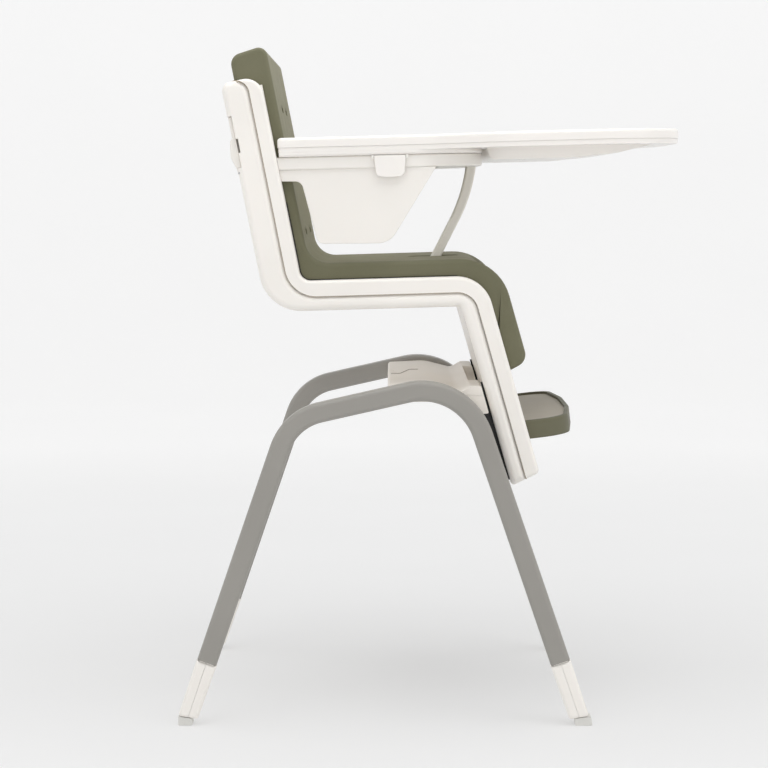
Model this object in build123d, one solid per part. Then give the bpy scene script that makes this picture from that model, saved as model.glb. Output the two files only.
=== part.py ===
from build123d import *
import math
import os

os.makedirs("parts", exist_ok=True)

# Child's high chair. Units mm. +X is the way the child faces, +Y its left, +Z up.
# The origin lies on the floor, midway between the two sides and midway in length.

# ---- Legs -----------------------------------------------------------------
LEG_DEPTH = 28.5          # tube size seen from the side
LEG_WIDTH = 30.0          # tube size seen from the front
LEG_WALL = 2.0
LEG_Y = 261.5             # tube centre line at the top of the arch
LEG_SLOPE = 0.343         # lean of the straight legs, forward or back per unit of height
LEG_SPLAY = 1.17          # degrees each leg leans outwards
LEG_TOP_Z = 475.0
BOLT_X = (-34.0, -12.0)   # bolts through each leg into the bridge beam
BOLT_Z = 471.5
BRIDGE_SCREWS = [(-57.0, 57.0), (-18.0, 67.0), (-57.0, -212.0), (-18.0, -205.0)]
BRIDGE_REAR = -64.5
REAR_BEND = (-202.6, 435.7, 78.0)
FRONT_BEND = (43.2, 491.5, 91.0)
TUBE_END_Z = 90.0
COVER_DEPTH = 26.5
COVER_WIDTH = 28.0

# ---- Seat ribbon: three straight runs, each given by its rear surface --------
BACK_AT = (-276.0, 784.0)
BACK_ANGLE = -78.8        # direction of each run, degrees above +X
SEAT_AT = (-74.0, 590.2)
SEAT_ANGLE = 1.7
COLUMN_AT = (69.0, 491.0)
COLUMN_ANGLE = -74.1
BACK_UP = 126.4           # shell top, measured along the back from BACK_AT
COLUMN_DOWN = 161.0       # shell bottom, measured down the column from COLUMN_AT
SHELL_Y = 240.0           # half width of the seat shells
CHANNEL_Y = 217.5         # half width of the channel that holds the pad
PAD_Y = 216.0
REAR = (0.0, 0.0, 0.0, 60.0, 6.0)
SKIN = (3.0, 3.0, 3.0, 57.0, 9.0)
PANEL = (15.0, 15.0, 15.0, 48.0, 20.0)
PANEL_FRONT = (15.3, 15.3, 15.3, 48.0, 20.3)
FLOOR = (18.0, 18.0, 18.0, 46.0, 23.0)
SEAM = (37.7, 20.3, 22.5, 45.0, 30.0)
SEAM_FRONT = (38.0, 20.6, 22.8, 44.7, 30.3)
FRONT = (57.0, 42.8, 43.4, 16.0, 52.0)
OUTSIDE = (120.0, 120.0, 120.0, 4.0, 118.0)
PAD_REAR = (18.5, 18.5, 18.5, 45.5, 23.5)
PAD_FRONT = (72.8, 67.3, 71.8, 34.0, 72.0)
FRAME_TUBE = (30.0, 26.0, 24.0, 38.0, 30.0)
FRAME_TUBE_R = 5.5
REAR_ROUND = 9.0          # edge rounding along the two sides of each shell
FRONT_ROUND = 5.0
SEAM_ROUND = 0.4

# ---- Height lever across the back ------------------------------------------------
LEVER_Y = 234.0
LEVER_LOW = -6.0          # along the back, from BACK_AT
LEVER_HIGH = 78.0
LEVER_PIVOT = (1.5, -2.0)

# ---- Height slide --------------------------------------------------------------
POST_Y = 221.0            # middle of each slide post and channel
POST_BOTTOM = -152.0      # along the column, from COLUMN_AT
POST_TOP = -6.0
BAR_TOP = -13.5           # top of the part of the post that the bridge holds
HEIGHT_STEP = 22.0
LOCK_S = -75.0            # lock pins, along the column
LOCK_U = 5.5
PIN_R = 2.0

# ---- Tray and armbar -------------------------------------------------------------
ARM_OUT = 230.0
ARM_IN = 217.5
ARM_TOP = -27.6           # heights below the tray's rim, in the tray's tilted frame
ARM_BOTTOM = -45.6
ARM_FRONT = 71.8
ARM_CORNER = 105.0
TRAY_TOP = 837.5          # rim height at X = 0
TRAY_TILT = 1.5
TRAY_HALF = 285.0
TRAY_FRONT = 362.5
TRAY_REAR = -221.0
LATCH_PIN_Z = -30.2

# ---- Footrest ---------------------------------------------------------------------
FOOTREST_AT = (136.0, 429.0)
FOOTREST_TILT = 7.0
FOOTREST_THICK = 27.0


def corner(before, here, after, radius):
    """Start, middle and end of the round that replaces a corner."""
    u = (before - here).normalized()
    v = (after - here).normalized()
    half = math.acos(max(-1.0, min(1.0, u.dot(v)))) / 2
    reach = radius / math.tan(half)
    toward = (u + v).normalized()
    centre = here + toward * (radius / math.sin(half))
    return here + u * reach, centre - toward * radius, here + v * reach


def rounded(points, closed, place):
    """Lines and arcs through (a, b, radius) points, placed in space by place(a, b)."""
    count = len(points)
    spots = [place(p[0], p[1]) for p in points]
    edges = []
    last = None
    first = None
    for i in range(count):
        radius = points[i][2] if len(points[i]) > 2 else 0
        ends = not closed and i in (0, count - 1)
        if radius <= 0 or ends:
            start, middle, end = spots[i], None, spots[i]
        else:
            start, middle, end = corner(spots[i - 1], spots[i], spots[(i + 1) % count], radius)
        if last is not None and (start - last).length > 1e-5:
            edges.append(Edge.make_line(last, start))
        if middle is not None:
            edges.append(Edge.make_three_point_arc(start, middle, end))
        if first is None:
            first = start
        last = end
    if closed and (first - last).length > 1e-5:
        edges.append(Edge.make_line(last, first))
    return Wire(edges)


def side_face(points, y):
    return Face(rounded(points, True, lambda a, b: Vector(a, y, b)))


def prism(points, y0, y1):
    """An XZ outline carried from y0 to y1."""
    low, high = min(y0, y1), max(y0, y1)
    return Solid.extrude(side_face(points, low), Vector(0, high - low, 0))


def plan_prism(points, z0, z1):
    """An XY outline carried from z0 to z1."""
    face = Face(rounded(points, True, lambda a, b: Vector(a, b, z0)))
    return Solid.extrude(face, Vector(0, 0, z1 - z0))


def block(x0, x1, y0, y1, z0, z1):
    box = Box(abs(x1 - x0), abs(y1 - y0), abs(z1 - z0))
    return Pos((x0 + x1) / 2, (y0 + y1) / 2, (z0 + z1) / 2) * box


def rod(start, end, radius):
    """A round bar between two points."""
    a = Vector(*start)
    b = Vector(*end)
    plane = Plane(origin=a, z_dir=(b - a).normalized())
    return Solid.make_cylinder(radius, (b - a).length, plane)


def soften(shape, edges, radius):
    """Round edges, with a smaller radius where the full one won't fit."""
    for size in (radius, radius * 0.7, radius * 0.4):
        try:
            return shape.fillet(size, edges)
        except Exception:
            continue
    return shape


def edges_at_y(shape, y, keep=None):
    found = [e for e in shape.edges() if abs(e.center().Y - y) < 0.02]
    flat = [e for e in found if abs(e.bounding_box().size.Y) < 0.02]
    return [e for e in flat if keep is None or keep(e)]


def one(shape):
    """The single solid in a result of joining or cutting."""
    solids = shape.solids()
    solids.sort(key=lambda s: s.volume)
    return solids[-1]


def save(name, *shapes):
    solids = []
    for shape in shapes:
        solids.extend(shape.solids())
    result = solids[0] if len(solids) == 1 else Compound(children=solids)
    export_step(result, "parts/" + name + ".step")


# ---- Seat ribbon helpers --------------------------------------------------------------

def unit(angle):
    return math.cos(math.radians(angle)), math.sin(math.radians(angle))


def run(at, angle, offset):
    """A straight run moved by offset towards the child."""
    dx, dz = unit(angle)
    nx, nz = -dz, dx
    return at[0] + nx * offset, at[1] + nz * offset, dx, dz


def cross(a, b):
    """Where two runs meet."""
    ax, az, adx, adz = a
    bx, bz, bdx, bdz = b
    t = ((bx - ax) * bdz - (bz - az) * bdx) / (adx * bdz - adz * bdx)
    return ax + adx * t, az + adz * t


def layer(kind, up=BACK_UP, down=COLUMN_DOWN, end_radius=0.0):
    """Corner points of one layer of the ribbon, from the top of the back downwards."""
    back = run(BACK_AT, BACK_ANGLE, kind[0])
    seat = run(SEAT_AT, SEAT_ANGLE, kind[1])
    column = run(COLUMN_AT, COLUMN_ANGLE, kind[2])
    low = down - 0.2 * kind[2]
    top = (back[0] - back[2] * up, back[1] - back[3] * up)
    bottom = (column[0] + column[2] * low, column[1] + column[3] * low)
    heel = cross(back, seat)
    knee = cross(seat, column)
    return [
        (top[0], top[1], end_radius),
        (heel[0], heel[1], kind[3]),
        (knee[0], knee[1], kind[4]),
        (bottom[0], bottom[1], end_radius),
    ]


def ribbon(rear, front, half, up=BACK_UP, down=COLUMN_DOWN, ends=(0.0, 0.0)):
    """The ribbon between two layers, right across the seat."""
    points = layer(rear, up, down, ends[0]) + layer(front, up, down, ends[1])[::-1]
    return prism(points, -half, half)


def at_column(u, s):
    """A point u in front of the column's rear surface and s up it from COLUMN_AT."""
    x, z, dx, dz = run(COLUMN_AT, COLUMN_ANGLE, u)
    return x - dx * s, z - dz * s


def column_block(u0, u1, y0, y1, s0, s1, radius=0.0):
    corners = [at_column(u0, s0), at_column(u1, s0), at_column(u1, s1), at_column(u0, s1)]
    return prism([(c[0], c[1], radius) for c in corners], y0, y1)


def at_back(u, s):
    """A point u in front of the back's rear surface and s up it from BACK_AT."""
    x, z, dx, dz = run(BACK_AT, BACK_ANGLE, u)
    return x - dx * s, z - dz * s


def back_block(u0, u1, y0, y1, s0, s1, radius=0.0):
    corners = [at_back(u0, s0), at_back(u1, s0), at_back(u1, s1), at_back(u0, s1)]
    return prism([(c[0], c[1], radius) for c in corners], y0, y1)


SIDES = (("left", 1), ("right", -1))


# ---- Legs, foot covers and feet ---------------------------------------------------------

def leg_line(rear, z):
    """X of a straight leg's centre line at height z."""
    if rear:
        return REAR_BEND[0] - LEG_SLOPE * (REAR_BEND[1] - z)
    return FRONT_BEND[0] + LEG_SLOPE * (FRONT_BEND[1] - z)


def splay(shape, sy):
    """Lean a leg built upright at its top centre line outwards at the floor."""
    axis = Axis((0, sy * LEG_Y, LEG_TOP_Z), (1, 0, 0))
    return shape.rotate(axis, sy * LEG_SPLAY)


def leg_solid(y, depth, width, radius):
    points = [
        (leg_line(True, TUBE_END_Z), TUBE_END_Z),
        REAR_BEND,
        FRONT_BEND,
        (leg_line(False, TUBE_END_Z), TUBE_END_Z),
    ]
    path = rounded(points, False, lambda a, b: Vector(a, y, b))
    lean = Vector(LEG_SLOPE, 0, 1).normalized()
    start = Vector(points[0][0], y, points[0][1])
    plane = Plane(origin=start, x_dir=(0, 1, 0), z_dir=lean)
    section = plane * RectangleRounded(width, depth, radius)
    return sweep(section, path=path, transition=Transition.ROUND)


def make_leg(sy):
    y = sy * LEG_Y
    tube = leg_solid(y, LEG_DEPTH, LEG_WIDTH, 6.5)
    bore = leg_solid(y, LEG_DEPTH - 2 * LEG_WALL, LEG_WIDTH - 2 * LEG_WALL, 4.5)
    leg = splay(one(tube - bore), sy)
    for x in BOLT_X:
        leg = leg - rod((x, sy * 240, BOLT_Z), (x, sy * 252, BOLT_Z), 3.1)
    return one(leg)


def cover_outline(rear, grow=0.0):
    """Side outline of a foot cover, square to the leg above and nearly level below."""
    half = (COVER_DEPTH / 2 + grow) * math.sqrt(1 + LEG_SLOPE ** 2)
    tip = 1 if rear else -1
    top_x = leg_line(rear, TUBE_END_Z - 1)
    low_x = leg_line(rear, 10.5)
    tilt = math.tan(math.radians(19)) * half
    foot = math.tan(math.radians(9)) * half
    return [
        (top_x - half, TUBE_END_Z - 1 + tip * tilt, 1.0),
        (top_x + half, TUBE_END_Z - 1 - tip * tilt, 1.0),
        (low_x + half, 10.5 - tip * foot, 4.0),
        (low_x - half, 10.5 + tip * foot, 4.0),
    ]


def make_cover(rear, sy):
    """A foot cover in two halves, with a tongue that plugs the tube."""
    y = sy * LEG_Y
    body = prism(cover_outline(rear), y - COVER_WIDTH / 2, y + COVER_WIDTH / 2)
    long_edges = body.edges().filter_by(lambda e: e.length > 70)
    body = soften(body, long_edges, 5.0)
    lean = LEG_SLOPE if rear else -LEG_SLOPE
    x0 = leg_line(rear, 84)
    x1 = leg_line(rear, 116)
    tongue = prism([(x0 - 11, 84), (x0 + 11, 84), (x1 + 11, 116), (x1 - 11, 116)], y - 11.5, y + 11.5)
    whole = one(body + tongue)
    cut = [(leg_line(rear, -40), -40), (leg_line(rear, 160), 160)]
    gap = 0.15 * math.sqrt(1 + lean ** 2)
    fore = whole - prism([
        (cut[0][0] - 60, -40), (cut[0][0] + gap, -40), (cut[1][0] + gap, 160), (cut[1][0] - 60, 160),
    ], y - 30, y + 30)
    aft = whole - prism([
        (cut[0][0] - gap, -40), (cut[0][0] + 60, -40), (cut[1][0] + 60, 160), (cut[1][0] - gap, 160),
    ], y - 30, y + 30)
    return splay(one(fore), sy), splay(one(aft), sy)


def make_foot(rear, sy):
    """A rubber foot under a cover, flat on the floor."""
    y = sy * (LEG_Y + math.tan(math.radians(LEG_SPLAY)) * LEG_TOP_Z)
    x = leg_line(rear, 0)
    low, high = (-10.0, 10.5) if rear else (-9.5, 15.0)
    base = prism([
        (x + low, 0, 1.5), (x + high, 0, 1.5), (x + high - 3, 16, 0), (x + low, 16, 0),
    ], y - 12, y + 12)
    keep_out = splay(prism([
        (cover_outline(rear)[3][0] - 30, cover_outline(rear)[3][1] - 0.3
         + (4.4 if rear else -4.4)),
        (cover_outline(rear)[2][0] + 30, cover_outline(rear)[2][1] - 0.3
         - (4.4 if rear else -4.4)),
        (x + 60, 60), (x - 60, 60),
    ], sy * LEG_Y - 40, sy * LEG_Y + 40), sy)
    return one(base - keep_out)


for side, sy in SIDES:
    save("leg_" + side, make_leg(sy))
    for rear in (True, False):
        end = "rear" if rear else "front"
        fore_half, aft_half = make_cover(rear, sy)
        save("cover_" + end + "_" + side + "_fore", fore_half)
        save("cover_" + end + "_" + side + "_aft", aft_half)
        save("foot_" + end + "_" + side, make_foot(rear, sy))


# ---- Bridge between the legs ------------------------------------------------------------

def bridge_outline(shrink=0.0):
    g = shrink
    top = at_column(-3.2 - g, -10.0)
    low = at_column(-3.2 - g, -50.0)
    return [
        (BRIDGE_REAR + g, 458.5 + g, 8),
        (BRIDGE_REAR + g, 479 - g, 5),
        (-6, 482 - g, 60),
        (37, 471 - g, 16),
        (53, 480.5 - g, 4),
        (top[0], 480.5 - g, 3),
        (low[0], low[1] + g, 2),
        (50 + g, 440 + g, 8),
        (38, 458.5 + g, 12),
    ]


def bridge_top(x):
    """Height of the bridge's upper face at x, over its rear half."""
    return 479 + (x - BRIDGE_REAR) * 3 / (-6 - BRIDGE_REAR)


def make_bridge():
    body = prism(bridge_outline(), -245.5, 245.5)
    notch = prism([at_column(-18, 20), at_column(5, 20), at_column(5, -120), at_column(-18, -120)],
                  -134, 134)
    body = body - notch
    body = body - block(-44.3, -1.7, -250, 250, 463.7, 477.3)
    for _, sy in SIDES:
        body = body - column_block(-21.3, 5, sy * (POST_Y - 12.3), sy * (POST_Y + 12.3), -60, BAR_TOP + 0.3)
    for x, y in BRIDGE_SCREWS:
        body = body - rod((x, y, bridge_top(x) - 2), (x, y, 490), 2.9)
        body = body - rod((x, y, 464), (x, y, 480), 1.5)
    top = body & block(-80, 100, -250, 250, 468.15, 500)
    bottom = body & block(-80, 100, -250, 250, 430, 467.85)
    return one(top), one(bottom)


def make_beam():
    """Steel bar inside the bridge that ties the two legs together."""
    beam = block(-44, -2, -246.2, 246.2, 464, 477)
    for x in BOLT_X:
        for _, sy in SIDES:
            beam = beam - rod((x, sy * 222, BOLT_Z), (x, sy * 247, BOLT_Z), 3.05)
    for x, y in BRIDGE_SCREWS:
        beam = beam - rod((x, y, 463), (x, y, 478), 1.6)
    return one(beam)


def bridge_screw(x, y):
    top = bridge_top(x)
    return rod((x, y, top - 1.9), (x, y, top - 0.6), 2.7) + rod((x, y, 465), (x, y, top - 1.8), 1.45)


def leg_bolt(x, sy):
    shank = rod((x, sy * 223, BOLT_Z), (x, sy * 249.2, BOLT_Z), 3.0)
    return shank + rod((x, sy * 249, BOLT_Z), (x, sy * 254, BOLT_Z), 4.8)


def make_post(sy):
    """Black slide post: a bar held in the bridge, with a T-shaped flange facing the seat column."""
    low, high = POST_Y - 12, POST_Y + 12
    bar = column_block(-21, -3.4, sy * low, sy * high, POST_BOTTOM, BAR_TOP)
    web = column_block(-4, 4, sy * (POST_Y - 2.5), sy * (POST_Y + 2.5), POST_BOTTOM, BAR_TOP)
    web = web + column_block(-2.6, 4, sy * (POST_Y - 2.5), sy * (POST_Y + 2.5), BAR_TOP - 1, POST_TOP)
    flange = column_block(3, 8, sy * (POST_Y - 8), sy * (POST_Y + 8), POST_BOTTOM, POST_TOP)
    post = bar + web + flange
    for i in range(-3, 4):
        x, z = at_column(LOCK_U, LOCK_S - HEIGHT_STEP * i)
        post = post - rod((x, sy * (POST_Y - 9), z), (x, sy * POST_Y, z), PIN_R + 0.1)
    return one(post)


upper_half, lower_half = make_bridge()
save("bridge_top_shell", upper_half)
save("bridge_bottom_shell", lower_half)
save("bridge_beam", make_beam())
save("bridge_screws", *[bridge_screw(x, y) for x, y in BRIDGE_SCREWS])
save("leg_bolts", *[leg_bolt(x, sy) for x in BOLT_X for _, sy in SIDES])
for side, sy in SIDES:
    save("slide_post_" + side, make_post(sy))
save("post_end_caps", *[
    column_block(-21.5, -3.2, sy * (POST_Y - 12.5), sy * (POST_Y + 12.5),
                 POST_BOTTOM - 3.5, POST_BOTTOM - 0.1, 1.0)
    for _, sy in SIDES
])


# ---- Height lever across the back -------------------------------------------------------------

def lever_pivot(y):
    x, z = at_back(*LEVER_PIVOT)
    return x, y, z


def lever_space():
    """Pocket in the rear shell that the lever lies in, and the slit behind its ends."""
    space = back_block(-30, 6.3, -260, 260, 5, LEVER_HIGH + 0.6)
    space = space + back_block(-30, 6.3, -227, 227, LEVER_LOW - 1.5, 6)
    space = space + back_block(5, 9.3, -58, 58, 28, 72, 6)
    for _, sy in SIDES:
        space = space + back_block(5, 9.3, sy * 222, sy * 260, 26, 46)
        space = space + rod(lever_pivot(sy * 220), lever_pivot(sy * 237), 1.55)
    return space


def make_lever():
    """Wide pull lever, hinged along its lower edge, with an opening for the fingers."""
    outline = [
        (*at_back(6.0, 77.5), 1.0), (*at_back(0.8, 78.0), 1.5), (*at_back(0.8, 47.5), 3),
        (*at_back(-3.0, 44.5), 2.5), (*at_back(-6.6, 22), 12), (*at_back(-1.2, 3), 8),
        (*at_back(-1.2, -4.6), 2.4),
        (*at_back(4.2, -4.6), 2.4), (*at_back(6.0, 5.5), 2.0),
    ]
    lever = prism(outline, -LEVER_Y, LEVER_Y)
    for y in (-LEVER_Y, LEVER_Y):
        lever = soften(lever, edges_at_y(lever, y), 1.6)
    lever = lever - back_block(-20, 20, 226.6, 250, -20, 5.4)
    lever = lever - back_block(-20, 20, -250, -226.6, -20, 5.4)
    grip = Solid.extrude(grip_face(), grip_depth())
    lever = lever - grip
    for _, sy in SIDES:
        lever = lever - rod(lever_pivot(sy * 216), lever_pivot(sy * 240), 1.55)
    return one(lever)


def grip_depth():
    a = at_back(0, 0)
    b = at_back(40, 0)
    return Vector(b[0] - a[0], 0, b[1] - a[1])


def grip_face():
    """Rounded opening through the middle of the lever."""
    def place(a, b):
        x, z = at_back(-20, b)
        return Vector(x, a, z)
    corners = [(-52, 36, 13), (52, 36, 13), (52, 64, 13), (-52, 64, 13)]
    return Face(rounded(corners, True, place))


save("height_lever", make_lever())
save("lever_pins", *[
    rod(lever_pivot(sy * 217), lever_pivot(sy * 236.5), 1.5) for _, sy in SIDES
])


# ---- Seat shells, frame tubes and slide channels --------------------------------------------

SCREW_SPOTS = [(-100, 150), (100, 150), (100, 60)]


def frame_tube(sy, radius):
    points = layer(FRAME_TUBE, BACK_UP - 22, COLUMN_DOWN - 14)
    path = rounded(points, False, lambda a, b: Vector(a, sy * 230, b))
    start = Vector(points[0][0], sy * 230, points[0][1])
    dx, dz = unit(BACK_ANGLE)
    plane = Plane(origin=start, x_dir=(0, 1, 0), z_dir=(dx, 0, dz))
    return sweep(plane * Circle(radius), path=path, transition=Transition.ROUND)


def channel_space(sy):
    return column_block(-1, 11.3, sy * (POST_Y - 11.3), sy * (POST_Y + 11.3), -200, 92)


def pin_bore(sy):
    x, z = at_column(LOCK_U, LOCK_S)
    return rod((x, sy * (POST_Y - 46), z), (x, sy * (POST_Y - 10), z), PIN_R + 0.05)


def rear_form(grow=0.0):
    """Outer form of the rear shell, with a well-rounded top."""
    front = SEAM_FRONT if grow else SEAM
    top = layer(REAR, BACK_UP + grow, COLUMN_DOWN + grow * 40)
    low = layer(front, BACK_UP + grow, COLUMN_DOWN + grow * 40)[::-1]
    top[0] = (top[0][0], top[0][1], 13)
    low[-1] = (low[-1][0], low[-1][1], 20)
    top[3] = (top[3][0], top[3][1], 5)
    return prism(top + low, -SHELL_Y, SHELL_Y)


def rear_hollow():
    """Space inside the rear shell, less the hand recess and the screw pillars."""
    space = ribbon(SKIN, PANEL, 204, BACK_UP - 5, COLUMN_DOWN - 5)
    space = space - back_block(-5, 12, -230, 230, LEVER_LOW - 11, LEVER_HIGH + 4)
    for s, y in SCREW_SPOTS:
        for sign in (-1, 1):
            x0, z0 = at_back(-2, s)
            x1, z1 = at_back(17, s)
            space = space - rod((x0, sign * y, z0), (x1, sign * y, z1), 6.5)
    return space


def near_layer(kind, edge, up=BACK_UP):
    """True if an edge of a side face lies along one layer of the ribbon."""
    line = rounded(layer(kind, up), False, lambda a, b: Vector(a, edge.center().Y, b))
    return line.distance_to(edge @ 0.5) < 0.3


def make_rear_shell():
    shell = rear_form()
    for y in (-SHELL_Y, SHELL_Y):
        rim = edges_at_y(shell, y, lambda e: not near_layer(SEAM, e))
        shell = soften(shell, rim, REAR_ROUND)
        shell = soften(shell, edges_at_y(shell, y, lambda e: near_layer(SEAM, e)), SEAM_ROUND)
    shell = shell - ribbon(PANEL, OUTSIDE, 220.8, BACK_UP + 60, COLUMN_DOWN + 60)
    shell = shell - rear_hollow()
    for _, sy in SIDES:
        shell = shell - frame_tube(sy, FRAME_TUBE_R + 0.3)
        shell = shell - channel_space(sy)
        shell = shell - pin_bore(sy)
    shell = shell - lever_space()
    for s, y in SCREW_SPOTS:
        for sign in (-1, 1):
            x0, z0 = at_back(-2, s)
            x1, z1 = at_back(3.2, s)
            x2, z2 = at_back(16, s)
            shell = shell - rod((x0, sign * y, z0), (x1, sign * y, z1), 4.2)
            shell = shell - rod((x1, sign * y, z1), (x2, sign * y, z2), 2.05)
    return one(shell)


def make_front_shell():
    behind = (22.0,) + SEAM_FRONT[1:]
    back = layer(behind)
    face = layer(FRONT)[::-1]
    face[0] = (face[0][0], face[0][1], 7)
    face[-1] = (face[-1][0], face[-1][1], 25)
    shell = one(prism(back + face, -SHELL_Y, SHELL_Y) - rear_form(0.5))
    for y in (-SHELL_Y, SHELL_Y):
        rim = edges_at_y(shell, y, lambda e: near_layer(FRONT, e))
        shell = soften(shell, rim, FRONT_ROUND)
        seam = edges_at_y(shell, y, lambda e: near_layer(SEAM_FRONT, e))
        shell = soften(shell, seam, SEAM_ROUND)
    shell = shell + ribbon(PANEL_FRONT, FRONT, 220.5, BACK_UP - 12, COLUMN_DOWN - 12)
    shell = shell - ribbon(FLOOR, OUTSIDE, CHANNEL_Y, BACK_UP + 60, COLUMN_DOWN + 60)
    for _, sy in SIDES:
        shell = shell - frame_tube(sy, FRAME_TUBE_R + 0.3)
        shell = shell - column_block(25.7, 32.3, sy * 216, sy * 222.3, -200, -12)
        shell = shell - block(-240, -200, sy * 219.7, sy * 228.3, 791.7, 800.3)
    for s, y in SCREW_SPOTS:
        for sign in (-1, 1):
            x0, z0 = at_back(15, s)
            x1, z1 = at_back(17.3, s)
            shell = shell - rod((x0, sign * y, z0), (x1, sign * y, z1), 1.9)
    return one(shell)


def seat_screw(s, y):
    x0, z0 = at_back(0.4, s)
    x1, z1 = at_back(3.1, s)
    x2, z2 = at_back(14.9, s)
    return rod((x0, y, z0), (x1, y, z1), 4.0) + rod((x1, y, z1), (x2, y, z2), 1.95)


def make_slide_channel(sy):
    """C-shaped runner let into the rear of the column, open at its lower end."""
    outer = column_block(0.2, 11, sy * (POST_Y - 11), sy * (POST_Y + 11), -157, 91)
    inner = column_block(2.7, 8.3, sy * (POST_Y - 8.3), sy * (POST_Y + 8.3), -170, 88)
    slot = column_block(-1, 3, sy * (POST_Y - 2.8), sy * (POST_Y + 2.8), -170, 88)
    channel = outer - inner - slot
    x, z = at_column(LOCK_U, LOCK_S)
    return one(channel - rod((x, sy * (POST_Y - 16), z), (x, sy * (POST_Y - 4), z), PIN_R + 0.05))


def make_pad():
    """One-piece foam pad that lines the back, the seat and the front of the knees."""
    points = layer(PAD_REAR, 168, 12)
    front = layer(PAD_FRONT, 168, 10)[::-1]
    points = [(points[0][0], points[0][1], 8)] + points[1:3] + [(points[3][0], points[3][1], 2)]
    front = [(front[0][0], front[0][1], 16)] + front[1:3] + [(front[3][0], front[3][1], 15)]
    pad = prism(points + front, -PAD_Y, PAD_Y)
    for y in (-PAD_Y, PAD_Y):
        pad = soften(pad, edges_at_y(pad, y), 5.0)
    pad = pad - plan_prism([(-34, -20, 12), (42, -20, 12), (42, 20, 12), (-34, 20, 12)], 640, 680)
    for s, half in ((80, 60), (-103, 85)):
        for sign in (-1, 1):
            pad = pad - back_block(10, 90, sign * (half - 20), sign * (half + 20), s - 4, s + 4, 3.5)
    return one(pad)


save("seat_rear_shell", make_rear_shell())
save("seat_front_shell", make_front_shell())
save("seat_pad", make_pad())
save("seat_screws", *[seat_screw(s, sign * y) for s, y in SCREW_SPOTS for sign in (-1, 1)])
for side, sy in SIDES:
    save("frame_tube_" + side, one(frame_tube(sy, FRAME_TUBE_R)))
    save("slide_channel_" + side, make_slide_channel(sy))
    px, pz = at_column(LOCK_U, LOCK_S)
    save("lock_pin_" + side, rod((px, sy * (POST_Y - 34), pz), (px, sy * (POST_Y - 3), pz), PIN_R))


# ---- Footrest ---------------------------------------------------------------------------------

def footrest_place(shape):
    return Pos(FOOTREST_AT[0], 0, FOOTREST_AT[1]) * Rot(0, -FOOTREST_TILT, 0) * shape


def footrest_plan(inset):
    g = inset
    return [
        (-60 if g == 0 else -20 + g, -PAD_Y + g + 0.5, 0 if g == 0 else 6),
        (58 - g, -PAD_Y + g + 0.5, 42 - g * 0.8),
        (71 - g, -70, 260),
        (71 - g, 70, 260),
        (58 - g, PAD_Y - g - 0.5, 42 - g * 0.8),
        (-60 if g == 0 else -20 + g, PAD_Y - g - 0.5, 0 if g == 0 else 6),
    ]


def make_footrest():
    body = plan_prism(footrest_plan(0), -FOOTREST_THICK, 0)
    rims = [e for e in body.edges() if abs(e.bounding_box().size.Z) < 0.01 and e.center().X > -50]
    body = soften(body, rims, 2.5)
    body = body - plan_prism(footrest_plan(6.5), -6, 5)
    body = body - block(-10, 50, -190, 190, -FOOTREST_THICK - 1, -10)
    for y in (-126, 126):
        body = body + block(-12, 52, y - 1.2, y + 1.2, -FOOTREST_THICK + 1, -8)
    boss = block(18, 52, -30, 30, -FOOTREST_THICK + 0.5, -8)
    body = body + boss - block(24.7, 45.3, -18.3, 18.3, -FOOTREST_THICK - 2, -14)
    body = footrest_place(body)
    body = body - column_block(-80, 19, -300, 300, -250, 150)
    for _, sy in SIDES:
        body = body - column_block(25.7, 32.3, sy * 208, sy * 230, -83, -57)
    return one(body)


def make_runner(sy):
    """Nylon block in the end of the footrest that slides in the rail's groove."""
    return column_block(26, 32, sy * 208.3, sy * 222, -82.7, -57.3)


save("footrest_body", make_footrest())
save("footrest_tread", footrest_place(plan_prism(footrest_plan(6.9), -5.9, -3.7)))
for side, sy in SIDES:
    save("footrest_runner_" + side, make_runner(sy))
save("footrest_button", footrest_place(
    plan_prism([(25, -18, 4), (45, -18, 4), (45, 18, 4), (25, 18, 4)], -FOOTREST_THICK - 1.5, -18)))


# ---- Armbar, side panels and crotch post ------------------------------------------------------

def tray_place(shape):
    return Pos(0, 0, TRAY_TOP) * Rot(0, -TRAY_TILT, 0) * shape


def arm_plan(out, back, front, inside, reach):
    return [
        (back, -out, 0), (front, -out, ARM_CORNER), (front, out, ARM_CORNER), (back, out, 0),
        (back, inside, 0), (reach, inside, 50), (reach, -inside, 50), (back, -inside, 0),
    ]


def arm_line(local, x):
    """Height at x of a level that is parallel to the tray."""
    return TRAY_TOP + local / math.cos(math.radians(TRAY_TILT)) + x * math.tan(math.radians(TRAY_TILT))


def make_armbar():
    bar = plan_prism(arm_plan(ARM_OUT, -226, ARM_FRONT, ARM_IN, 8), ARM_BOTTOM, ARM_TOP)
    rim = [e for e in bar.edges() if abs(e.bounding_box().size.Z) < 0.01 and e.center().X > -225]
    bar = soften(bar, rim, 2.6)
    for _, sy in SIDES:
        bar = bar - block(-190.3, -165.7, sy * 214, sy * 226, -41.3, -31.7)
    bar = tray_place(bar)
    for _, sy in SIDES:
        bar = bar - block(-240, -204.7, sy * 219.7, sy * 228.3, 791.7, 800.3)
    bar = bar - prism(post_outline(0.3, 785, 801.3), -17.3, 17.3)
    return one(bar - back_block(0, 57.3, -250, 250, -60, 60))


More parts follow.
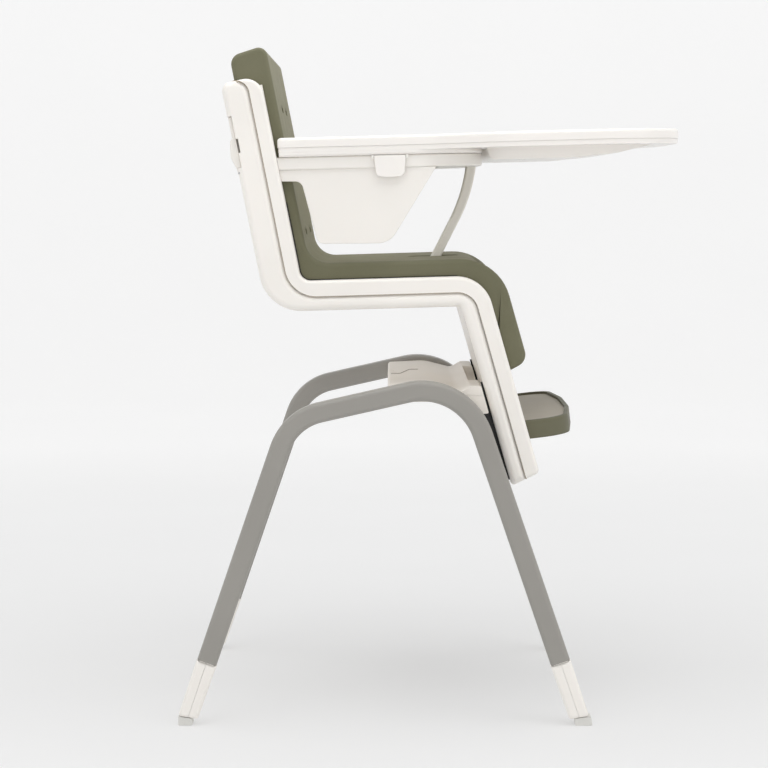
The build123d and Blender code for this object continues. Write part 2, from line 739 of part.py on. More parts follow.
def make_side_panel(sy):
    """Plate below one side of the armbar, with a strip that runs back to the rail."""
    top = ARM_BOTTOM - 0.2
    outline = [
        (-226, arm_line(top, -226), 0), (-226, 770.5, 0), (-187, 770.5, 11), (-163.5, 682.4, 11),
        (-61.5, 683.2, 30), (4.5, arm_line(top, 4.5), 0),
    ]
    panel = prism(outline, sy * 222, sy * 226.5)
    outer = edges_at_y(panel, sy * 226.5, lambda e: e.center().Z < 785)
    panel = soften(panel, outer, 1.2)
    return one(panel - back_block(0, 57.3, -250, 250, -60, 60))


def post_outline(grow, low, high):
    """Side outline of the crotch post, a gentle forward curve."""
    def upper(z):
        return 68.5 - (794 - z) * math.tan(math.radians(8))
    def lower(z):
        return 20.5 + (z - 668) * math.tan(math.radians(27))
    bend = 749.9
    if low > bend:
        return [(upper(low) + grow, low), (upper(high) + grow, high),
                (upper(high) - 15 - grow, high), (upper(low) - 15 - grow, low)]
    return [
        (lower(low), low, 3), (upper(bend), bend, 240), (upper(high), high, 0),
        (upper(high) - 15, high, 0), (upper(bend) - 15, bend, 240), (lower(low) - 15, low, 3),
    ]


def make_crotch_post():
    """Curved post from the front of the armbar down into the slot in the seat pad."""
    post = prism(post_outline(0, 650, 801), -17, 17)
    long_edges = [e for e in post.edges() if abs(abs(e.center().Y) - 17) < 0.01]
    return one(soften(post, long_edges, 3.0))


save("armbar", make_armbar())
save("crotch_post", make_crotch_post())
for side, sy in SIDES:
    save("side_panel_" + side, make_side_panel(sy))
    save("armbar_tongue_" + side, block(-234.5, -205, sy * 220, sy * 228, 792, 800))
    save("release_button_" + side, tray_place(block(-190, -166, sy * 216, sy * 223.5, -41, -32)))


# ---- Tray ----------------------------------------------------------------------------------------

def tray_plan(g):
    """Half of the tray outline, mirrored: arms behind, wide table in front, bowed front edge."""
    tip = max(1.0, 7.0 - g)
    half = [
        (TRAY_REAR + g, 236 - g, tip), (5, 236 - g, 60), (95, TRAY_HALF - g, 60),
        (351 - g, TRAY_HALF - g, 150 - g), (TRAY_FRONT - g, 0, 700),
    ]
    inner = [(TRAY_REAR + g, 218 + g, tip), (-150, 217.5 + g, 60), (8 + g, 190, 110)]
    right = [(x, -y, r) for x, y, r in half]
    left = [(x, y, r) for x, y, r in half[:-1]]
    return right + left[::-1] + inner + [(x, -y, r) for x, y, r in inner[::-1]]


def dish_solid(g, low, high):
    """The sunken part of the tray, deepest over the middle and rising to the front."""
    side = prism([
        (76 + g, high, 0), (81 + g, low, 10), (196, low, 60), (262, low + 5, 60), (330 - g, high, 0),
    ], -300, 300)
    plan = plan_prism([
        (70 + g, -232 + g, 50), (245, -232 + g, 90), (332 - g, -120, 100),
        (332 - g, 120, 100), (245, 232 - g, 90), (70 + g, 232 - g, 50),
    ], low - 5, high + 5)
    return one(side & plan)


def make_tray_base():
    deck = plan_prism(tray_plan(1.0), -21, -14.2)
    deck = deck - plan_prism(tray_plan(4.0), -18.5, -14)
    base = deck + dish_solid(0, -38, -18.5)
    base = base - dish_solid(3, -35.2, -10)
    return one(tray_place(base))


def make_tray_insert():
    deck = plan_prism(tray_plan(0.0), -14, 0)
    rim = [e for e in deck.edges() if abs(e.center().Z) < 0.01]
    deck = soften(deck, rim, 5.0)
    deck = deck - plan_prism(tray_plan(3.0), -15, -3)
    insert = deck + dish_solid(3.6, -34.6, -1.5)
    insert = insert - dish_solid(6.6, -31.6, 3)
    return one(tray_place(insert))


def make_tray_runner(sy):
    """Half of the rounded lip under the tray that rests on the armbar."""
    lip = plan_prism(arm_plan(235.2, TRAY_REAR + 2, ARM_FRONT + 1, 219.5, 12), ARM_TOP + 0.3, -21.1)
    rim = [e for e in lip.edges() if abs(e.center().Z - (ARM_TOP + 0.3)) < 0.01]
    outer = [e for e in rim if (e @ 0.5).Y ** 2 > 228 ** 2 or (e @ 0.5).X > 30 or e.length > 300]
    lip = soften(lip, outer, 4.2)
    half = block(-300, 200, sy * 0.1, sy * 300, -40, -10)
    return tray_place(one(lip & half))


def latch_pin(sy, x0, x1, radius):
    return tray_place(rod((x0, sy * 233, LATCH_PIN_Z), (x1, sy * 233, LATCH_PIN_Z), radius))


def make_latch(sy):
    """Tab that hooks under the armbar and swings out to free the tray."""
    tab = prism([
        (-84.8, -28.2, 1.2), (-39.6, -28.2, 1.2), (-42.2, -57.6, 8), (-62, -59.4, 90), (-82.2, -57.6, 8),
    ], sy * 231, sy * 235)
    outer = edges_at_y(tab, sy * 235)
    tab = soften(tab, outer, 1.0)
    hook = prism([(-76, -52), (-48, -52), (-48, -46.2), (-76, -46.2)], sy * 227.2, sy * 232)
    return one(tray_place(tab + hook) - latch_pin(sy, -90, -30, 1.05))


def make_latch_bracket(sy):
    """Ears under the tray's lip that hold a latch's pin."""
    ears = block(-88.3, -85.2, sy * 230.6, sy * 235, -33, -27.3)
    ears = ears + block(-39.2, -36.1, sy * 230.6, sy * 235, -33, -27.3)
    ears = ears + block(-88.3, -36.1, sy * 230.6, sy * 233, -27.6, -27.3)
    return one(tray_place(ears) - latch_pin(sy, -92, -28, 1.02))


save("tray_base", make_tray_base())
save("tray_insert", make_tray_insert())
for side, sy in SIDES:
    save("tray_runner_" + side, make_tray_runner(sy))
    save("tray_latch_" + side, make_latch(sy))
    save("latch_bracket_" + side, make_latch_bracket(sy))
    save("latch_pin_" + side, latch_pin(sy, -88, -36.4, 1.0))
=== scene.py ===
import math
import bmesh
import bpy
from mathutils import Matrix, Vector


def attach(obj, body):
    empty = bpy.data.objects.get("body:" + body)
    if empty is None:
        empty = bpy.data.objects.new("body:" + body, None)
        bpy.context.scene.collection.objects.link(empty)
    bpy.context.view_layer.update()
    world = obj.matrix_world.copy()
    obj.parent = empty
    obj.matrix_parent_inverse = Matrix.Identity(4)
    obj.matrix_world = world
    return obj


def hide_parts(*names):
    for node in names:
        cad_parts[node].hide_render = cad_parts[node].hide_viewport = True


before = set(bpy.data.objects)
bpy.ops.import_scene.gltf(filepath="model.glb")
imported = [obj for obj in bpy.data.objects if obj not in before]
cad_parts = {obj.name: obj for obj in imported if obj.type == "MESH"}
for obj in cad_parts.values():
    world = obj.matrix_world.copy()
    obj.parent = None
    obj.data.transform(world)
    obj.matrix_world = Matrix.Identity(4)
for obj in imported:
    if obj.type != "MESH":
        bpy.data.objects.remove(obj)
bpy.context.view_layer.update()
scene = bpy.context.scene


# ---- Materials -----------------------------------------------------------------

def linear(colour):
    """An sRGB colour from 0 to 255, as the linear values that the shader takes."""
    out = []
    for c in colour:
        c = c / 255.0
        out.append(c / 12.92 if c <= 0.04045 else ((c + 0.055) / 1.055) ** 2.4)
    return (out[0], out[1], out[2], 1.0)


def shade(colour, factor):
    return tuple(min(1.0, c * factor) for c in colour[:3]) + (1.0,)


class Surface:
    """Node builder for one material that is already on the frame's pieces."""

    def __init__(self, name):
        self.material = bpy.data.materials.get(name) or bpy.data.materials.new(name)
        self.material.use_nodes = True
        self.tree = self.material.node_tree
        self.tree.nodes.clear()
        self.out = self.add("ShaderNodeOutputMaterial")
        self.shader = self.add("ShaderNodeBsdfPrincipled")
        self.link(self.shader.outputs[0], self.out.inputs["Surface"])
        self.coords = self.add("ShaderNodeTexCoord").outputs["Object"]

    def add(self, kind):
        return self.tree.nodes.new(kind)

    def link(self, a, b):
        self.tree.links.new(a, b)

    def noise(self, scale, detail=3.0, roughness=0.55, stretch=None):
        node = self.add("ShaderNodeTexNoise")
        node.inputs["Scale"].default_value = scale
        node.inputs["Detail"].default_value = detail
        node.inputs["Roughness"].default_value = roughness
        source = self.coords
        if stretch:
            mapping = self.add("ShaderNodeMapping")
            mapping.inputs["Scale"].default_value = stretch
            self.link(self.coords, mapping.inputs["Vector"])
            source = mapping.outputs[0]
        self.link(source, node.inputs["Vector"])
        return node.outputs["Fac"]

    def span(self, value, low, high, start=0.3, stop=0.7):
        node = self.add("ShaderNodeMapRange")
        node.inputs["From Min"].default_value = start
        node.inputs["From Max"].default_value = stop
        node.inputs["To Min"].default_value = low
        node.inputs["To Max"].default_value = high
        self.link(value, node.inputs["Value"])
        return node.outputs[0]

    def blend(self, value, first, second):
        node = self.add("ShaderNodeMix")
        node.data_type = "RGBA"
        self.link(value, node.inputs["Factor"])
        for end, key in ((first, 6), (second, 7)):
            if isinstance(end, tuple):
                node.inputs[key].default_value = end
            else:
                self.link(end, node.inputs[key])
        return node.outputs[2]

    def bump(self, value, strength, distance, after=None):
        node = self.add("ShaderNodeBump")
        node.inputs["Strength"].default_value = strength
        node.inputs["Distance"].default_value = distance
        self.link(value, node.inputs["Height"])
        if after is not None:
            self.link(after, node.inputs["Normal"])
        return node.outputs[0]


COAT_ROUGHNESS = 0.18
SUBSURFACE_RADIUS = (0.004, 0.003, 0.002)


def moulded(name, colour, rough=0.42, drift=0.03, grain=1600.0, depth=0.00003, strength=0.25,
            coat=0.0, subsurface=0.0):
    """Moulded plastic: a fine spark-eroded grain, faint flow shading and a satin gloss."""
    s = Surface(name)
    base = linear(colour)
    broad = s.noise(5.0, 2.0)
    tone = s.blend(s.span(broad, 0.0, 1.0), shade(base, 1.0 - drift), shade(base, 1.0 + drift))
    fine = s.noise(grain, 2.0, 0.6)
    speck = s.span(fine, 0.0, 0.05, 0.35, 0.75)
    tone = s.blend(speck, tone, shade(base, 0.80))
    s.link(tone, s.shader.inputs["Base Color"])
    patches = s.noise(22.0, 3.0)
    s.link(s.span(patches, rough - 0.05, rough + 0.06), s.shader.inputs["Roughness"])
    s.link(s.bump(fine, strength, depth), s.shader.inputs["Normal"])
    s.shader.inputs["Specular IOR Level"].default_value = 0.5
    if coat:
        s.shader.inputs["Coat Weight"].default_value = coat
        s.shader.inputs["Coat Roughness"].default_value = COAT_ROUGHNESS
    if subsurface:
        s.shader.inputs["Subsurface Weight"].default_value = subsurface
        s.shader.inputs["Subsurface Radius"].default_value = SUBSURFACE_RADIUS
    return s


def powder_coat(name, colour, rough=0.45, metallic=0.0):
    """Powder coat: orange-peel waves under a satin skin, with a fine sparkle painted into the colour
    as pale glints.
    """
    s = Surface(name)
    base = linear(colour)
    broad = s.noise(7.0, 2.0)
    tone = s.blend(s.span(broad, 0.0, 1.0), shade(base, 0.965), shade(base, 1.035))
    # Painted glints: pale flecks in the colour stand for the sparkle of the coat.
    glint_fleck = s.span(s.noise(2600.0, 1.0), 0.0, 0.10, 0.45, 0.75)
    tone = s.blend(glint_fleck, tone, shade(base, 1.25))
    s.link(tone, s.shader.inputs["Base Color"])
    s.link(s.span(s.noise(40.0, 3.0), rough - 0.05, rough + 0.07), s.shader.inputs["Roughness"])
    peel = s.bump(s.noise(420.0, 1.5), 0.22, 0.00008)
    s.link(s.bump(s.noise(2200.0, 1.0), 0.15, 0.00003, peel), s.shader.inputs["Normal"])
    s.shader.inputs["Metallic"].default_value = metallic
    return s


def brushed(name, colour, rough=0.30, stretch=(1.0, 40.0, 40.0)):
    """Plated or anodised metal with fine lengthwise lines."""
    s = Surface(name)
    base = linear(colour)
    lines = s.noise(60.0, 4.0, 0.6, stretch)
    tone = s.blend(s.span(lines, 0.0, 1.0), shade(base, 0.90), shade(base, 1.06))
    s.link(tone, s.shader.inputs["Base Color"])
    s.link(s.span(lines, rough - 0.06, rough + 0.10), s.shader.inputs["Roughness"])
    s.link(s.bump(lines, 0.25, 0.00003), s.shader.inputs["Normal"])
    s.shader.inputs["Metallic"].default_value = 1.0
    return s


def foam(name, colour, lighter):
    """Soft moulded foam with a matt grained skin: pores, creases and a paler bloom."""
    s = Surface(name)
    base = linear(colour)
    pale = linear(lighter)
    broad = s.noise(6.0, 3.0)
    tone = s.blend(s.span(broad, 0.0, 0.30), base, pale)
    pores = s.add("ShaderNodeTexVoronoi")
    pores.inputs["Scale"].default_value = 620.0
    pores.inputs["Randomness"].default_value = 1.0
    s.link(s.coords, pores.inputs["Vector"])
    cell = s.span(pores.outputs["Distance"], 0.0, 1.0, 0.05, 0.55)
    # Painted shade: the pore centres are darkened, as shade in the small pits of the skin.
    tone = s.blend(s.span(pores.outputs["Distance"], 0.30, 0.0, 0.0, 0.40), tone, shade(base, 0.72))
    fine = s.noise(1500.0, 3.0, 0.65)
    tone = s.blend(s.span(fine, 0.0, 0.16), tone, shade(pale, 1.10))
    s.link(tone, s.shader.inputs["Base Color"])
    s.link(s.span(s.noise(30.0, 3.0), 0.62, 0.78), s.shader.inputs["Roughness"])
    soft = s.bump(s.noise(38.0, 2.0), 0.10, 0.0010)
    grain = s.bump(cell, 0.35, 0.00016, soft)
    s.link(s.bump(fine, 0.20, 0.00006, grain), s.shader.inputs["Normal"])
    s.shader.inputs["Sheen Weight"].default_value = 0.22
    s.shader.inputs["Sheen Roughness"].default_value = 0.45
    s.shader.inputs["Sheen Tint"].default_value = linear((222, 216, 192))
    s.shader.inputs["Specular IOR Level"].default_value = 0.35
    return s


def rubber(name, colour):
    s = Surface(name)
    base = linear(colour)
    fine = s.noise(900.0, 3.0, 0.6)
    tone = s.blend(s.span(s.noise(14.0), 0.0, 1.0), shade(base, 0.94), shade(base, 1.04))
    tone = s.blend(s.span(fine, 0.0, 0.18), tone, shade(base, 0.75))
    s.link(tone, s.shader.inputs["Base Color"])
    s.link(s.span(s.noise(60.0), 0.66, 0.82), s.shader.inputs["Roughness"])
    s.link(s.bump(fine, 0.35, 0.00010), s.shader.inputs["Normal"])
    return s


moulded("shell_white", (245, 241, 235), rough=0.38, coat=0.10, subsurface=0.03)
moulded("cover_white", (246, 242, 236), rough=0.46)
moulded("bridge_white", (244, 238, 229), rough=0.44)
moulded("tray_white", (246, 242, 237), rough=0.32, coat=0.18, subsurface=0.03)
moulded("arm_white", (243, 239, 233), rough=0.38, coat=0.10, subsurface=0.03)
moulded("lever_white", (238, 234, 228), rough=0.40)
moulded("button_grey", (186, 182, 176), rough=0.44)
moulded("post_grey", (250, 246, 238), rough=0.44)
moulded("cap_black", (34, 33, 32), rough=0.48, drift=0.08)
moulded("footrest_olive", (100, 98, 76), rough=0.50, drift=0.04, grain=1200.0, depth=0.00006,
        strength=0.35)
moulded("tread_taupe", (190, 183, 170), rough=0.62, drift=0.03, grain=900.0, depth=0.0001,
        strength=0.4)
powder_coat("leg_grey", (152, 149, 143), rough=0.38)
powder_coat("post_black", (26, 26, 26), rough=0.42)
brushed("steel", (186, 186, 188))
brushed("channel_grey", (170, 170, 172), rough=0.38)
rubber("foot_rubber", (222, 221, 216))
foam("pad_olive", (103, 102, 79), (131, 128, 105))


# ---- Seat pad ---------------------------------------------------------------------
# Each straight run of the seat is given by a point on its rear surface and its angle.

BACK = (-0.276, 0.784, -78.8)
SEAT = (-0.074, 0.5902, 1.7)
COLUMN = (0.069, 0.491, -74.1)


def run(at, offset):
    """A straight run of the seat's side view: a point on it and its direction."""
    angle = math.radians(at[2])
    d = Vector((math.cos(angle), math.sin(angle)))
    return Vector(at[:2]) + Vector((-d.y, d.x)) * offset, d


def meet(a, b):
    (p, u), (q, v) = a, b
    t = ((q.x - p.x) * v.y - (q.y - p.y) * v.x) / (u.x * v.y - u.y * v.x)
    return p + u * t


def line_points(a, b, gap):
    n = max(1, round((b - a).length / gap))
    return [a + (b - a) * (i / n) for i in range(n)]


def outline(corners, gap=0.009, turn=9.0):
    """A closed outline with rounded corners, as evenly spread points."""
    arcs = []
    n = len(corners)
    for i in range(n):
        before, here, after = corners[i - 1][0], corners[i][0], corners[(i + 1) % n][0]
        radius = corners[i][1]
        u = (before - here).normalized()
        v = (after - here).normalized()
        half = math.acos(max(-1.0, min(1.0, u.dot(v)))) / 2
        start = here + u * (radius / math.tan(half))
        end = here + v * (radius / math.tan(half))
        centre = here + (u + v).normalized() * (radius / math.sin(half))
        sweep = math.pi - 2 * half
        steps = max(2, round(math.degrees(sweep) / turn), round(sweep * radius / gap))
        a0 = start - centre
        sign = 1 if a0.x * (end - centre).y - a0.y * (end - centre).x > 0 else -1
        points = []
        for k in range(steps + 1):
            t = sign * sweep * k / steps
            points.append(centre + Vector((a0.x * math.cos(t) - a0.y * math.sin(t),
                                           a0.x * math.sin(t) + a0.y * math.cos(t))))
        arcs.append(points)
    out = []
    for i in range(n):
        out += arcs[i]
        out += line_points(arcs[i][-1], arcs[(i + 1) % n][0], gap)[1:]
    return out


PAD_HALF = 0.2157         # half width
PAD_SOFT = 0.0065         # rounding along the two sides
PAD_DISH = 0.0072         # depth of the hollow between the raised sides
PAD_REAR = 0.0187         # rear surface, in front of the seat's rear surface
DISH_EDGE = 0.2095        # where the hollow starts, from the middle
DISH_SLOPE = 0.017        # width over which it deepens
STATIONS = 44             # cross-sections between the two rounded sides
STRAP_SLOTS = ((0.080, 0.060), (-0.103, 0.085))     # up the back, out from the middle


def pad_outline():
    rear = [run(BACK, PAD_REAR), run(SEAT, PAD_REAR), run(COLUMN, PAD_REAR)]
    front = [run(BACK, 0.0722), run(SEAT, 0.0667), run(COLUMN, 0.0712)]
    return [
        (rear[0][0] - rear[0][1] * 0.1628, 0.016),
        (meet(rear[0], rear[1]), 0.0453),
        (meet(rear[1], rear[2]), 0.0237),
        (rear[2][0] + rear[2][1] * 0.0080, 0.003),
        (front[2][0] + front[2][1] * -0.0040, 0.018),
        (meet(front[1], front[2]), 0.072),
        (meet(front[0], front[1]), 0.034),
        (front[0][0] - front[0][1] * 0.1690, 0.013),
    ]


def inset(points, amounts):
    """The outline moved inwards along its own normals, by an amount for each point."""
    n = len(points)
    out = []
    for i in range(n):
        d = (points[(i + 1) % n] - points[i - 1]).normalized()
        out.append(points[i] + Vector((-d.y, d.x)) * amounts[i])
    return out


def ease(t):
    t = max(0.0, min(1.0, t))
    return t * t * (3.0 - 2.0 * t)


def front_share(p):
    """0 at the pad's rear surface and 1 at its front, as a depth through the foam."""
    depths = []
    for at in (BACK, SEAT, COLUMN):
        q, d = run(at, PAD_REAR)
        depths.append((p - q).dot(Vector((-d.y, d.x))))
    return ease((min(depths) - 0.018) / 0.020)


def mesh_object(name, bm, material, smooth=32.0):
    bmesh.ops.recalc_face_normals(bm, faces=bm.faces)
    data = bpy.data.meshes.new(name)
    bm.to_mesh(data)
    bm.free()
    obj = bpy.data.objects.new(name, data)
    scene.collection.objects.link(obj)
    data.materials.append(bpy.data.materials[material])
    data.shade_smooth()
    if smooth:
        data.set_sharp_from_angle(angle=math.radians(smooth))
    return obj


def apply_modifiers(obj):
    bpy.context.view_layer.update()
    graph = bpy.context.evaluated_depsgraph_get()
    data = bpy.data.meshes.new_from_object(obj.evaluated_get(graph))
    obj.modifiers.clear()
    obj.data = data
    return obj


def cutter(name, centre, size, radius, tilt):
    """A rounded bar along its own first axis, for cutting a strap slot."""
    bm = bmesh.new()
    length, wide, high = size
    ring = []
    for cx, cz, start in ((1, 1, 0), (-1, 1, 90), (-1, -1, 180), (1, -1, 270)):
        for k in range(7):
            a = math.radians(start + 15 * k)
            ring.append((cx * (wide / 2 - radius) + radius * math.cos(a),
                         cz * (high / 2 - radius) + radius * math.sin(a)))
    loops = []
    for end in (-0.5, 0.5):
        loops.append([bm.verts.new((end * length, y, z)) for y, z in ring])
    for i in range(len(ring)):
        j = (i + 1) % len(ring)
        bm.faces.new((loops[0][i], loops[0][j], loops[1][j], loops[1][i]))
    bm.faces.new(loops[0])
    bm.faces.new(loops[1][::-1])
    obj = mesh_object(name, bm, "pad_olive")
    obj.rotation_euler = (0.0, tilt, 0.0)
    obj.location = centre
    return obj


def at_back(u, s):
    p, d = run(BACK, u)
    p = p - d * s
    return p.x, p.y


def make_pad():
    corners = pad_outline()
    points = outline(corners)
    area = sum(points[i - 1].x * p.y - points[i - 1].y * p.x for i, p in enumerate(points))
    side = 1.0 if area > 0 else -1.0
    rings = []
    for k in range(7):
        a = math.radians(15.0 * k)
        rings.append((-PAD_HALF + PAD_SOFT - PAD_SOFT * math.cos(a), PAD_SOFT * (1 - math.sin(a))))
    inner = PAD_HALF - PAD_SOFT
    for k in range(1, STATIONS):
        rings.append((-inner + 2 * inner * k / STATIONS, 0.0))
    rings += [(-y, i) for y, i in rings[:7][::-1]]
    facing = [front_share(p) for p in points]
    bm = bmesh.new()
    loops = []
    for y, amount in rings:
        sink = PAD_DISH * ease((DISH_EDGE - abs(y)) / DISH_SLOPE)
        moved = inset(points, [side * (amount + sink * f) for f in facing])
        loop = []
        for p in moved:
            loop.append(bm.verts.new((p.x, y, p.y)))
        loops.append(loop)
    count = len(points)
    for a, b in zip(loops, loops[1:]):
        for i in range(count):
            j = (i + 1) % count
            bm.faces.new((a[i], a[j], b[j], b[i]))
    ends = [bm.faces.new(loops[0]), bm.faces.new(loops[-1][::-1])]
    bmesh.ops.triangulate(bm, faces=ends)
    pad = mesh_object("pad_cover", bm, "pad_olive")
    cuts = []
    slope = math.radians(-11.2)
    for s, across in STRAP_SLOTS:
        for sign in (-1, 1):
            x, z = at_back(0.055, s)
            cuts.append(cutter("slot", (x, sign * across, z), (0.120, 0.040, 0.0085), 0.0038, slope))
    cuts.append(cutter("slot", (0.004, 0.0, 0.655), (0.080, 0.0394, 0.0765), 0.0115,
                       math.radians(90.0)))
    for c in cuts:
        cut = pad.modifiers.new("cut", "BOOLEAN")
        cut.operation = "DIFFERENCE"
        cut.solver = "EXACT"
        cut.object = c
    apply_modifiers(pad)
    for c in cuts:
        bpy.data.objects.remove(c)
    return pad


pad = make_pad()
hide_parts("seat_pad")
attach(pad, "seat")


# ---- Painted shade lines: seam gaps, shadow bead and bridge groove --------------------

SEAM_Y = 0.23935          # out from the middle, just inside the shells' sides
SEAM_BEAD = 0.00050
SHADOW_Y = 0.21675        # in the gap between pad and rail
SHADOW_BEAD = 0.00105
GROOVE_BEAD = 0.00075
BRIDGE_REAR = -0.0645
BRIDGE_TOP = 0.47905      # height of the bridge's upper face at its rear
BRIDGE_RISE = 0.0513
BACK_TOP = 0.1264         # top of the shells, up the back
COLUMN_END = 0.1560       # end of the seam, down the column

def rounded_path(corners, turn=7.0):
    """An open line through (point, radius) corners, with arcs at the corners."""
    out = [corners[0][0]]
    for (before, _), (here, radius), (after, _) in zip(corners, corners[1:], corners[2:]):
        u = (before - here).normalized()
        v = (after - here).normalized()
        half = math.acos(max(-1.0, min(1.0, u.dot(v)))) / 2
        start = here + u * (radius / math.tan(half))
        centre = here + (u + v).normalized() * (radius / math.sin(half))
        a0 = start - centre
        end = here + v * (radius / math.tan(half)) - centre
        sign = 1 if a0.x * end.y - a0.y * end.x > 0 else -1
        sweep = math.pi - 2 * half
        steps = max(3, round(math.degrees(sweep) / turn))
        for k in range(steps + 1):
            t = sign * sweep * k / steps
            out.append(centre + Vector((a0.x * math.cos(t) - a0.y * math.sin(t),
                                        a0.x * math.sin(t) + a0.y * math.cos(t))))
    out.append(corners[-1][0])
    return out


def bead(bm, points, radius, taper=0.0, sides=8):
    """A round bead along 3-D points, thinner towards its last point if taper is above 0."""
    n = len(points)
    rings = []
    for i, p in enumerate(points):
        d = (points[min(i + 1, n - 1)] - points[max(i - 1, 0)]).normalized()
        side = d.cross(Vector((0, 1, 0)))
        if side.length < 0.2:
            side = d.cross(Vector((0, 0, 1)))
        side.normalize()
        up = side.cross(d)
        r = radius * (1 - taper * i / (n - 1))
        ring = []
        for k in range(sides):
            a = 2 * math.pi * k / sides
            ring.append(bm.verts.new(p + side * (r * math.cos(a)) + up * (r * math.sin(a))))
        rings.append(ring)
    for a, b in zip(rings, rings[1:]):
        for k in range(sides):
            j = (k + 1) % sides
            bm.faces.new((a[k], a[j], b[j], b[k]))
    bm.faces.new(rings[0][::-1])
    bm.faces.new(rings[-1])


def along(points, y):
    return [Vector((p.x, y, p.y)) for p in points]


def seam_path():
    back, seat, column = run(BACK, 0.03785), run(SEAT, 0.02045), run(COLUMN, 0.02265)
    rear_top = run(BACK, 0.020)[0] - back[1] * BACK_TOP
    top = back[0] - back[1] * BACK_TOP
    low = column[0] + column[1] * COLUMN_END
    return rounded_path([(rear_top, 0), (top, 0.0198), (meet(back, seat), 0.0448),
                         (meet(seat, column), 0.0303), (low, 0)])


def bridge_top(x):
    """Height of the bridge's upper face over its rear half, which rises towards the front."""
    return BRIDGE_TOP + (x - BRIDGE_REAR) * BRIDGE_RISE


def groove_path():
    """The S-shaped line on top of the bridge, drawn in plan and laid on the upper face."""
    plan = rounded_path([
        (Vector((-0.0590, 0.0020)), 0),
        (Vector((-0.0465, -0.0110)), 0.004),
        (Vector((-0.0315, 0.0625)), 0.0055),
        (Vector((-0.0181, 0.0555)), 0),
    ])
    return [Vector((p.x, p.y, bridge_top(p.x))) for p in plan]


def shadow_path():
    back, seat = run(BACK, 0.0578), run(SEAT, 0.0436)
    start = back[0] + back[1] * 0.055
    end = seat[0] + seat[1] * 0.110
    return rounded_path([(start, 0), (meet(back, seat), 0.0150), (end, 0)])


# The seam between the shells is real; the brownish filler in its gap is painted shade, standing for
# the shade inside the gap.
moulded("seam_gap_painted_shade", (158, 142, 120), rough=0.6)
# Near-black bead colour: a painted shadow for the gap between pad and rail.
moulded("shadow_bead", (38, 36, 32), rough=0.7, drift=0.06)
# Darker bead colour: painted shade, standing for the shade inside the bridge's S-shaped groove.
moulded("groove_painted_shade", (150, 140, 128), rough=0.6)

seam_shade_mesh = bmesh.new()
for sign in (-1, 1):
    bead(seam_shade_mesh, along(seam_path(), sign * SEAM_Y), SEAM_BEAD)
seam_painted_shade_lines = mesh_object("seam_painted_shade_lines", seam_shade_mesh, "seam_gap_painted_shade")
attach(seam_painted_shade_lines, "seat")

# A dark bead in the gap between pad and rail: a painted shadow, standing for the shade that falls
# there.
shadow_strip_mesh = bmesh.new()
for sign in (-1, 1):
    bead(shadow_strip_mesh, along(shadow_path(), sign * SHADOW_Y), SHADOW_BEAD, taper=0.5)
pad_gap_shadow_strips = mesh_object("pad_gap_painted_shadow", shadow_strip_mesh, "shadow_bead")
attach(pad_gap_shadow_strips, "seat")

# A darker bead laid on the bridge's upper face: painted shade in place of the groove's own shadow.
groove = bmesh.new()
bead(groove, groove_path(), GROOVE_BEAD)
bridge_groove = mesh_object("bridge_groove", groove, "groove_painted_shade")
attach(bridge_groove, "base")


# ---- Floor, backdrop, light and camera ------------------------------------------------

FLAT = 4.4                # radius of the flat floor
CURVE = 1.6               # radius of the curve up into the backdrop
BACKDROP_TOP = 4.2


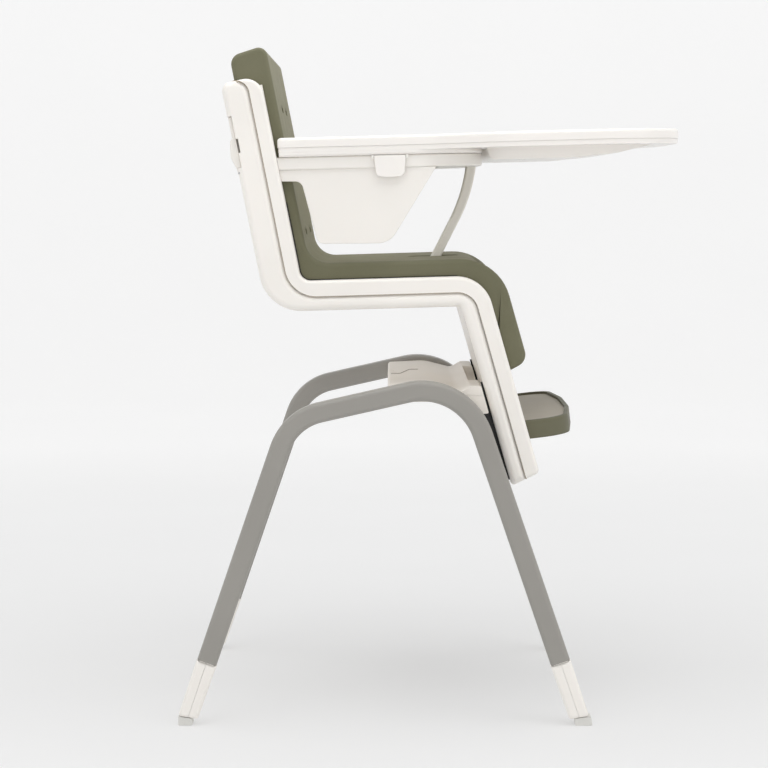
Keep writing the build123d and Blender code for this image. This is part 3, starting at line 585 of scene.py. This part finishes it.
def make_stage():
    """A round pale floor that curves up into a backdrop all the way round; it glows as painted
    light, dimmer in the middle under the chair and brighter out towards the backdrop.
    """
    profile = [(0.0, 0.0), (1.5, 0.0), (FLAT, 0.0)]
    for k in range(1, 11):
        a = math.radians(9.0 * k)
        profile.append((FLAT + CURVE * math.sin(a), CURVE - CURVE * math.cos(a)))
    profile.append((FLAT + CURVE, BACKDROP_TOP))
    bm = bmesh.new()
    around = 96
    centre = bm.verts.new((0.0, 0.0, -0.0005))
    rows = []
    for r, z in profile[1:]:
        row = []
        for k in range(around):
            a = 2 * math.pi * k / around
            row.append(bm.verts.new((r * math.cos(a), r * math.sin(a), z - 0.0005)))
        rows.append(row)
    for k in range(around):
        j = (k + 1) % around
        bm.faces.new((centre, rows[0][k], rows[0][j]))
        for inner, outer in zip(rows, rows[1:]):
            bm.faces.new((inner[k], outer[k], outer[j], inner[j]))
    s = Surface("studio_floor")
    base = (0.45, 0.45, 0.45, 1.0)
    tone = s.blend(s.span(s.noise(2.0, 2.0), 0.0, 1.0), shade(base, 0.99), shade(base, 1.01))
    s.link(tone, s.shader.inputs["Base Color"])
    s.shader.inputs["Roughness"].default_value = 0.9
    s.shader.inputs["Specular IOR Level"].default_value = 0.1
    s.shader.inputs["Emission Color"].default_value = (1.0, 1.0, 1.0, 1.0)
    length = s.add("ShaderNodeVectorMath")
    length.operation = "LENGTH"
    s.link(s.coords, length.inputs[0])
    # Painted light: the floor glows, less in the middle under the chair and more towards the
    # backdrop.
    glow = s.span(length.outputs["Value"], 0.38, 0.58, 0.6, 3.4)
    s.link(glow, s.shader.inputs["Emission Strength"])
    return mesh_object("studio_backdrop", bm, "studio_floor")


make_stage()


def area_light(name, place, target, size, energy, colour=(1.0, 1.0, 1.0)):
    lamp = bpy.data.lights.new(name, "AREA")
    lamp.shape = "RECTANGLE"
    lamp.size, lamp.size_y = size
    lamp.energy = energy
    lamp.color = colour
    obj = bpy.data.objects.new(name, lamp)
    scene.collection.objects.link(obj)
    obj.location = place
    direction = Vector(target) - Vector(place)
    obj.rotation_euler = direction.to_track_quat("-Z", "Y").to_euler()
    return obj


area_light("key", (0.1, -0.5, 3.0), (0.0, 0.0, 0.4), (3.0, 3.0), 64.0)
area_light("front_fill", (3.4, -1.6, 1.9), (0.0, 0.0, 0.5), (2.0, 2.4), 5.0)
area_light("rear_fill", (-3.2, -2.6, 1.6), (0.0, 0.0, 0.5), (2.0, 2.4), 3.0)

world = bpy.data.worlds.new("studio")
scene.world = world
world.use_nodes = True
sky = world.node_tree.nodes["Background"]
sky.inputs["Color"].default_value = (1.0, 1.0, 1.0, 1.0)
sky.inputs["Strength"].default_value = 0.34

scene.view_settings.view_transform = "Standard"

camera_data = bpy.data.cameras.new("camera")
camera_data.lens = 107.8
camera_data.sensor_width = 36.0
camera = bpy.data.objects.new("camera", camera_data)
scene.collection.objects.link(camera)
camera.location = (-0.06115, -3.5, 0.75845)
camera.rotation_euler = (math.radians(85.18), 0.0, math.radians(0.15))
scene.camera = camera
